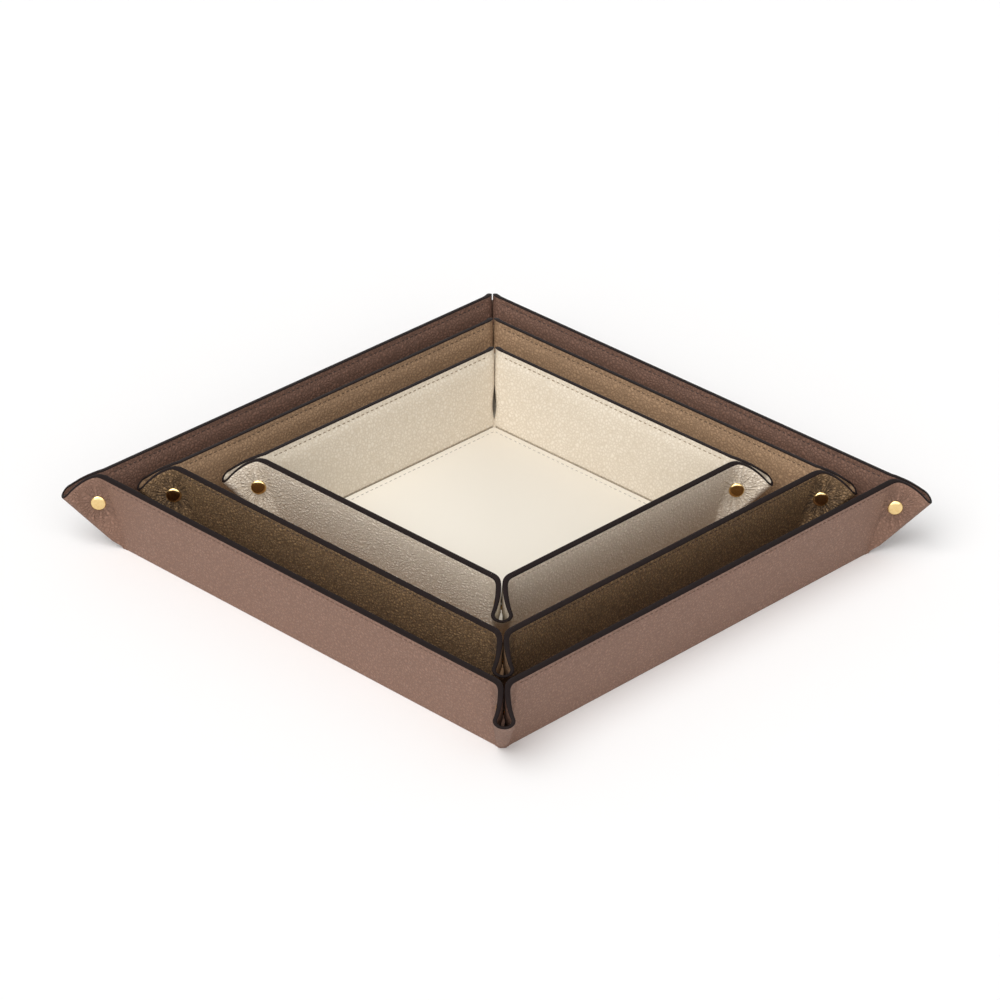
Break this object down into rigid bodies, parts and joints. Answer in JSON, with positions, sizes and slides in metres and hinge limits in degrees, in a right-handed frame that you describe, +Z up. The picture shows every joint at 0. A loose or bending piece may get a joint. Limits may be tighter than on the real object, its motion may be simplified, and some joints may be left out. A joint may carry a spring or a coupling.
{
  "type": "nesting valet tray",
  "caption": "Nest of square leather valet trays with flared walls and pinched corner ears; brass press studs open so that the walls fold flat, and the inner trays lift out.",
  "frame": {"origin": "middle of the large tray's underside", "axes": "+Z up, X and Y along the trays' sides; the front wall faces -Y and the right wall faces +X"},
  "size_m": [0.293, 0.293, 0.0492],
  "materials": {
    "large_outer_leather": "taupe pebbled leather",
    "large_lining_leather": "dark brown pebbled leather",
    "medium_outer_leather": "dark olive brown pebbled leather",
    "medium_lining_leather": "tan pebbled leather",
    "small_outer_leather": "stone grey pebbled leather",
    "small_lining_leather": "cream pebbled leather",
    "board": "grey pulp board",
    "brass": "polished"
  },
  "bodies": {
    "large_tray": {"large_floor_outer": "large_outer_leather", "large_floor_board": "board", "large_floor_lining": "large_lining_leather", "large_corner_gussets": "large_outer_leather"},
    "large_front_wall": {"large_front_wall": "large_outer_leather", "large_front_board": "board"},
    "large_front_stud_flap": {"large_front_snap_stud": "brass"},
    "large_front_socket_flap": {"large_front_snap_socket": "brass"},
    "large_right_wall": {"large_right_wall": "large_outer_leather", "large_right_board": "board"},
    "large_right_stud_flap": {"large_right_snap_stud": "brass"},
    "large_right_socket_flap": {"large_right_snap_socket": "brass"},
    "large_back_wall": {"large_back_wall": "large_outer_leather", "large_back_board": "board"},
    "large_back_stud_flap": {"large_back_snap_stud": "brass"},
    "large_back_socket_flap": {"large_back_snap_socket": "brass"},
    "large_left_wall": {"large_left_wall": "large_outer_leather", "large_left_board": "board"},
    "large_left_stud_flap": {"large_left_snap_stud": "brass"},
    "large_left_socket_flap": {"large_left_snap_socket": "brass"},
    "medium_tray": {"medium_floor_outer": "medium_outer_leather", "medium_floor_board": "board", "medium_floor_lining": "medium_lining_leather", "medium_corner_gussets": "medium_outer_leather"},
    "medium_front_wall": {"medium_front_wall": "medium_outer_leather", "medium_front_board": "board"},
    "medium_front_stud_flap": {"medium_front_snap_stud": "brass"},
    "medium_front_socket_flap": {"medium_front_snap_socket": "brass"},
    "medium_right_wall": {"medium_right_wall": "medium_outer_leather", "medium_right_board": "board"},
    "medium_right_stud_flap": {"medium_right_snap_stud": "brass"},
    "medium_right_socket_flap": {"medium_right_snap_socket": "brass"},
    "medium_back_wall": {"medium_back_wall": "medium_outer_leather", "medium_back_board": "board"},
    "medium_back_stud_flap": {"medium_back_snap_stud": "brass"},
    "medium_back_socket_flap": {"medium_back_snap_socket": "brass"},
    "medium_left_wall": {"medium_left_wall": "medium_outer_leather", "medium_left_board": "board"},
    "medium_left_stud_flap": {"medium_left_snap_stud": "brass"},
    "medium_left_socket_flap": {"medium_left_snap_socket": "brass"},
    "small_tray": {"small_floor_outer": "small_outer_leather", "small_floor_board": "board", "small_floor_lining": "small_lining_leather", "small_corner_gussets": "small_outer_leather"},
    "small_front_wall": {"small_front_wall": "small_outer_leather", "small_front_board": "board"},
    "small_front_stud_flap": {"small_front_snap_stud": "brass"},
    "small_front_socket_flap": {"small_front_snap_socket": "brass"},
    "small_right_wall": {"small_right_wall": "small_outer_leather", "small_right_board": "board"},
    "small_right_stud_flap": {"small_right_snap_stud": "brass"},
    "small_right_socket_flap": {"small_right_snap_socket": "brass"},
    "small_back_wall": {"small_back_wall": "small_outer_leather", "small_back_board": "board"},
    "small_back_stud_flap": {"small_back_snap_stud": "brass"},
    "small_back_socket_flap": {"small_back_snap_socket": "brass"},
    "small_left_wall": {"small_left_wall": "small_outer_leather", "small_left_board": "board"},
    "small_left_stud_flap": {"small_left_snap_stud": "brass"},
    "small_left_socket_flap": {"small_left_snap_socket": "brass"}
  },
  "joints": [
    {"name": "large_front_fold", "type": "hinge", "parent": "large_tray", "child": "large_front_wall", "pos_m": [0, -0.125, 0.0003], "axis": [1, 0, 0], "range_deg": [0, 76.5], "deforming": ["large_corner_gussets"]},
    {"name": "large_front_stud_flap_open", "type": "hinge", "parent": "large_front_wall", "child": "large_front_stud_flap", "pos_m": [0.12118, -0.125, 0.0003], "axis": [0.2179, -0.2179, 0.9513], "range_deg": [0, 66.5]},
    {"name": "large_front_socket_flap_open", "type": "hinge", "parent": "large_front_wall", "child": "large_front_socket_flap", "pos_m": [-0.12118, -0.125, 0.0003], "axis": [0.2179, 0.2179, -0.9513], "range_deg": [0, 66.5]},
    {"name": "large_right_fold", "type": "hinge", "parent": "large_tray", "child": "large_right_wall", "pos_m": [0.125, 0, 0.0003], "axis": [0, 1, 0], "range_deg": [0, 76.5], "deforming": ["large_corner_gussets"]},
    {"name": "large_right_stud_flap_open", "type": "hinge", "parent": "large_right_wall", "child": "large_right_stud_flap", "pos_m": [0.125, 0.12118, 0.0003], "axis": [0.2179, 0.2179, 0.9513], "range_deg": [0, 66.5]},
    {"name": "large_right_socket_flap_open", "type": "hinge", "parent": "large_right_wall", "child": "large_right_socket_flap", "pos_m": [0.125, -0.12118, 0.0003], "axis": [-0.2179, 0.2179, -0.9513], "range_deg": [0, 66.5]},
    {"name": "large_back_fold", "type": "hinge", "parent": "large_tray", "child": "large_back_wall", "pos_m": [0, 0.125, 0.0003], "axis": [-1, 0, 0], "range_deg": [0, 76.5], "deforming": ["large_corner_gussets"]},
    {"name": "large_back_stud_flap_open", "type": "hinge", "parent": "large_back_wall", "child": "large_back_stud_flap", "pos_m": [-0.12118, 0.125, 0.0003], "axis": [-0.2179, 0.2179, 0.9513], "range_deg": [0, 66.5]},
    {"name": "large_back_socket_flap_open", "type": "hinge", "parent": "large_back_wall", "child": "large_back_socket_flap", "pos_m": [0.12118, 0.125, 0.0003], "axis": [-0.2179, -0.2179, -0.9513], "range_deg": [0, 66.5]},
    {"name": "large_left_fold", "type": "hinge", "parent": "large_tray", "child": "large_left_wall", "pos_m": [-0.125, 0, 0.0003], "axis": [0, -1, 0], "range_deg": [0, 76.5], "deforming": ["large_corner_gussets"]},
    {"name": "large_left_stud_flap_open", "type": "hinge", "parent": "large_left_wall", "child": "large_left_stud_flap", "pos_m": [-0.125, -0.12118, 0.0003], "axis": [-0.2179, -0.2179, 0.9513], "range_deg": [0, 66.5]},
    {"name": "large_left_socket_flap_open", "type": "hinge", "parent": "large_left_wall", "child": "large_left_socket_flap", "pos_m": [-0.125, 0.12118, 0.0003], "axis": [0.2179, -0.2179, -0.9513], "range_deg": [0, 66.5]},
    {"name": "medium_lift", "type": "slide", "parent": "large_tray", "child": "medium_tray", "axis": [0, 0, 1], "range_m": [0, 0.06]},
    {"name": "medium_front_fold", "type": "hinge", "parent": "medium_tray", "child": "medium_front_wall", "pos_m": [0, -0.1, 0.0048], "axis": [1, 0, 0], "range_deg": [0, 76.5], "deforming": ["medium_corner_gussets"]},
    {"name": "medium_front_stud_flap_open", "type": "hinge", "parent": "medium_front_wall", "child": "medium_front_stud_flap", "pos_m": [0.09618, -0.1, 0.0048], "axis": [0.2179, -0.2179, 0.9513], "range_deg": [0, 66.5]},
    {"name": "medium_front_socket_flap_open", "type": "hinge", "parent": "medium_front_wall", "child": "medium_front_socket_flap", "pos_m": [-0.09618, -0.1, 0.0048], "axis": [0.2179, 0.2179, -0.9513], "range_deg": [0, 66.5]},
    {"name": "medium_right_fold", "type": "hinge", "parent": "medium_tray", "child": "medium_right_wall", "pos_m": [0.1, 0, 0.0048], "axis": [0, 1, 0], "range_deg": [0, 76.5], "deforming": ["medium_corner_gussets"]},
    {"name": "medium_right_stud_flap_open", "type": "hinge", "parent": "medium_right_wall", "child": "medium_right_stud_flap", "pos_m": [0.1, 0.09618, 0.0048], "axis": [0.2179, 0.2179, 0.9513], "range_deg": [0, 66.5]},
    {"name": "medium_right_socket_flap_open", "type": "hinge", "parent": "medium_right_wall", "child": "medium_right_socket_flap", "pos_m": [0.1, -0.09618, 0.0048], "axis": [-0.2179, 0.2179, -0.9513], "range_deg": [0, 66.5]},
    {"name": "medium_back_fold", "type": "hinge", "parent": "medium_tray", "child": "medium_back_wall", "pos_m": [0, 0.1, 0.0048], "axis": [-1, 0, 0], "range_deg": [0, 76.5], "deforming": ["medium_corner_gussets"]},
    {"name": "medium_back_stud_flap_open", "type": "hinge", "parent": "medium_back_wall", "child": "medium_back_stud_flap", "pos_m": [-0.09618, 0.1, 0.0048], "axis": [-0.2179, 0.2179, 0.9513], "range_deg": [0, 66.5]},
    {"name": "medium_back_socket_flap_open", "type": "hinge", "parent": "medium_back_wall", "child": "medium_back_socket_flap", "pos_m": [0.09618, 0.1, 0.0048], "axis": [-0.2179, -0.2179, -0.9513], "range_deg": [0, 66.5]},
    {"name": "medium_left_fold", "type": "hinge", "parent": "medium_tray", "child": "medium_left_wall", "pos_m": [-0.1, 0, 0.0048], "axis": [0, -1, 0], "range_deg": [0, 76.5], "deforming": ["medium_corner_gussets"]},
    {"name": "medium_left_stud_flap_open", "type": "hinge", "parent": "medium_left_wall", "child": "medium_left_stud_flap", "pos_m": [-0.1, -0.09618, 0.0048], "axis": [-0.2179, -0.2179, 0.9513], "range_deg": [0, 66.5]},
    {"name": "medium_left_socket_flap_open", "type": "hinge", "parent": "medium_left_wall", "child": "medium_left_socket_flap", "pos_m": [-0.1, 0.09618, 0.0048], "axis": [0.2179, -0.2179, -0.9513], "range_deg": [0, 66.5]},
    {"name": "small_lift", "type": "slide", "parent": "medium_tray", "child": "small_tray", "axis": [0, 0, 1], "range_m": [0, 0.06]},
    {"name": "small_front_fold", "type": "hinge", "parent": "small_tray", "child": "small_front_wall", "pos_m": [0, -0.072, 0.0093], "axis": [1, 0, 0], "range_deg": [0, 76.5], "deforming": ["small_corner_gussets"]},
    {"name": "small_front_stud_flap_open", "type": "hinge", "parent": "small_front_wall", "child": "small_front_stud_flap", "pos_m": [0.06818, -0.072, 0.0093], "axis": [0.2179, -0.2179, 0.9513], "range_deg": [0, 66.5]},
    {"name": "small_front_socket_flap_open", "type": "hinge", "parent": "small_front_wall", "child": "small_front_socket_flap", "pos_m": [-0.06818, -0.072, 0.0093], "axis": [0.2179, 0.2179, -0.9513], "range_deg": [0, 66.5]},
    {"name": "small_right_fold", "type": "hinge", "parent": "small_tray", "child": "small_right_wall", "pos_m": [0.072, 0, 0.0093], "axis": [0, 1, 0], "range_deg": [0, 76.5], "deforming": ["small_corner_gussets"]},
    {"name": "small_right_stud_flap_open", "type": "hinge", "parent": "small_right_wall", "child": "small_right_stud_flap", "pos_m": [0.072, 0.06818, 0.0093], "axis": [0.2179, 0.2179, 0.9513], "range_deg": [0, 66.5]},
    {"name": "small_right_socket_flap_open", "type": "hinge", "parent": "small_right_wall", "child": "small_right_socket_flap", "pos_m": [0.072, -0.06818, 0.0093], "axis": [-0.2179, 0.2179, -0.9513], "range_deg": [0, 66.5]},
    {"name": "small_back_fold", "type": "hinge", "parent": "small_tray", "child": "small_back_wall", "pos_m": [0, 0.072, 0.0093], "axis": [-1, 0, 0], "range_deg": [0, 76.5], "deforming": ["small_corner_gussets"]},
    {"name": "small_back_stud_flap_open", "type": "hinge", "parent": "small_back_wall", "child": "small_back_stud_flap", "pos_m": [-0.06818, 0.072, 0.0093], "axis": [-0.2179, 0.2179, 0.9513], "range_deg": [0, 66.5]},
    {"name": "small_back_socket_flap_open", "type": "hinge", "parent": "small_back_wall", "child": "small_back_socket_flap", "pos_m": [0.06818, 0.072, 0.0093], "axis": [-0.2179, -0.2179, -0.9513], "range_deg": [0, 66.5]},
    {"name": "small_left_fold", "type": "hinge", "parent": "small_tray", "child": "small_left_wall", "pos_m": [-0.072, 0, 0.0093], "axis": [0, -1, 0], "range_deg": [0, 76.5], "deforming": ["small_corner_gussets"]},
    {"name": "small_left_stud_flap_open", "type": "hinge", "parent": "small_left_wall", "child": "small_left_stud_flap", "pos_m": [-0.072, -0.06818, 0.0093], "axis": [-0.2179, -0.2179, 0.9513], "range_deg": [0, 66.5]},
    {"name": "small_left_socket_flap_open", "type": "hinge", "parent": "small_left_wall", "child": "small_left_socket_flap", "pos_m": [-0.072, 0.06818, 0.0093], "axis": [0.2179, -0.2179, -0.9513], "range_deg": [0, 66.5]}
  ],
  "couplings": [
    {"joint": "large_front_stud_flap_open", "follows": "large_front_fold", "ratio": 0.868},
    {"joint": "large_front_socket_flap_open", "follows": "large_front_fold", "ratio": 0.868},
    {"joint": "large_right_stud_flap_open", "follows": "large_right_fold", "ratio": 0.868},
    {"joint": "large_right_socket_flap_open", "follows": "large_right_fold", "ratio": 0.868},
    {"joint": "large_back_stud_flap_open", "follows": "large_back_fold", "ratio": 0.868},
    {"joint": "large_back_socket_flap_open", "follows": "large_back_fold", "ratio": 0.868},
    {"joint": "large_left_stud_flap_open", "follows": "large_left_fold", "ratio": 0.868},
    {"joint": "large_left_socket_flap_open", "follows": "large_left_fold", "ratio": 0.868},
    {"joint": "medium_front_fold", "follows": "large_front_fold", "ratio": 1},
    {"joint": "medium_front_stud_flap_open", "follows": "large_front_fold", "ratio": 0.868},
    {"joint": "medium_front_socket_flap_open", "follows": "large_front_fold", "ratio": 0.868},
    {"joint": "medium_right_fold", "follows": "large_right_fold", "ratio": 1},
    {"joint": "medium_right_stud_flap_open", "follows": "large_right_fold", "ratio": 0.868},
    {"joint": "medium_right_socket_flap_open", "follows": "large_right_fold", "ratio": 0.868},
    {"joint": "medium_back_fold", "follows": "large_back_fold", "ratio": 1},
    {"joint": "medium_back_stud_flap_open", "follows": "large_back_fold", "ratio": 0.868},
    {"joint": "medium_back_socket_flap_open", "follows": "large_back_fold", "ratio": 0.868},
    {"joint": "medium_left_fold", "follows": "large_left_fold", "ratio": 1},
    {"joint": "medium_left_stud_flap_open", "follows": "large_left_fold", "ratio": 0.868},
    {"joint": "medium_left_socket_flap_open", "follows": "large_left_fold", "ratio": 0.868},
    {"joint": "small_front_fold", "follows": "large_front_fold", "ratio": 1},
    {"joint": "small_front_stud_flap_open", "follows": "large_front_fold", "ratio": 0.868},
    {"joint": "small_front_socket_flap_open", "follows": "large_front_fold", "ratio": 0.868},
    {"joint": "small_right_fold", "follows": "large_right_fold", "ratio": 1},
    {"joint": "small_right_stud_flap_open", "follows": "large_right_fold", "ratio": 0.868},
    {"joint": "small_right_socket_flap_open", "follows": "large_right_fold", "ratio": 0.868},
    {"joint": "small_back_fold", "follows": "large_back_fold", "ratio": 1},
    {"joint": "small_back_stud_flap_open", "follows": "large_back_fold", "ratio": 0.868},
    {"joint": "small_back_socket_flap_open", "follows": "large_back_fold", "ratio": 0.868},
    {"joint": "small_left_fold", "follows": "large_left_fold", "ratio": 1},
    {"joint": "small_left_stud_flap_open", "follows": "large_left_fold", "ratio": 0.868},
    {"joint": "small_left_socket_flap_open", "follows": "large_left_fold", "ratio": 0.868}
  ]
}
